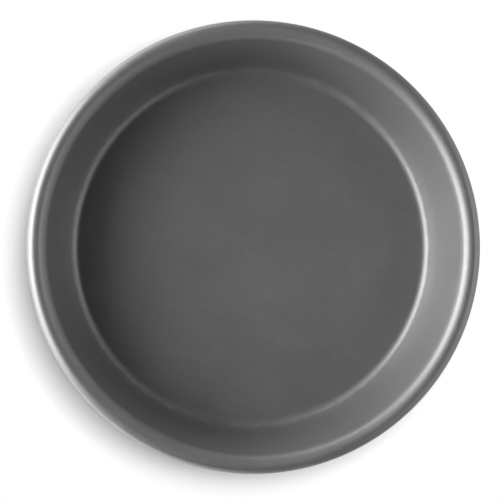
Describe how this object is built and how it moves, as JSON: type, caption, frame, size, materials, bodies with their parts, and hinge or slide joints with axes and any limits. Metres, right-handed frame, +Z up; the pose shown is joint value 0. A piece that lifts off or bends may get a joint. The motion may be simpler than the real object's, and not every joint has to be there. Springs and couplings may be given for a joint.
{
  "type": "deep dish pizza pan",
  "caption": "Round deep dish pizza pan of hard-anodised sheet, with leaning walls and a rim curled over a stiffening wire.",
  "frame": {"origin": "middle of the flat underside, on the pan's axis", "axes": "+Z up along the pan's axis, out of its mouth; the pan is round, so +Y only marks the back, where the two ends of the rim wire meet"},
  "size_m": [0.2504, 0.2504, 0.0524],
  "materials": {
    "hard_anodised_aluminium": "hard-coat anodised, satin dark grey",
    "bare_aluminium": "bare drawn wire"
  },
  "bodies": {
    "root": {"pan_shell": "hard_anodised_aluminium", "rim_wire": "bare_aluminium"}
  },
  "joints": []
}
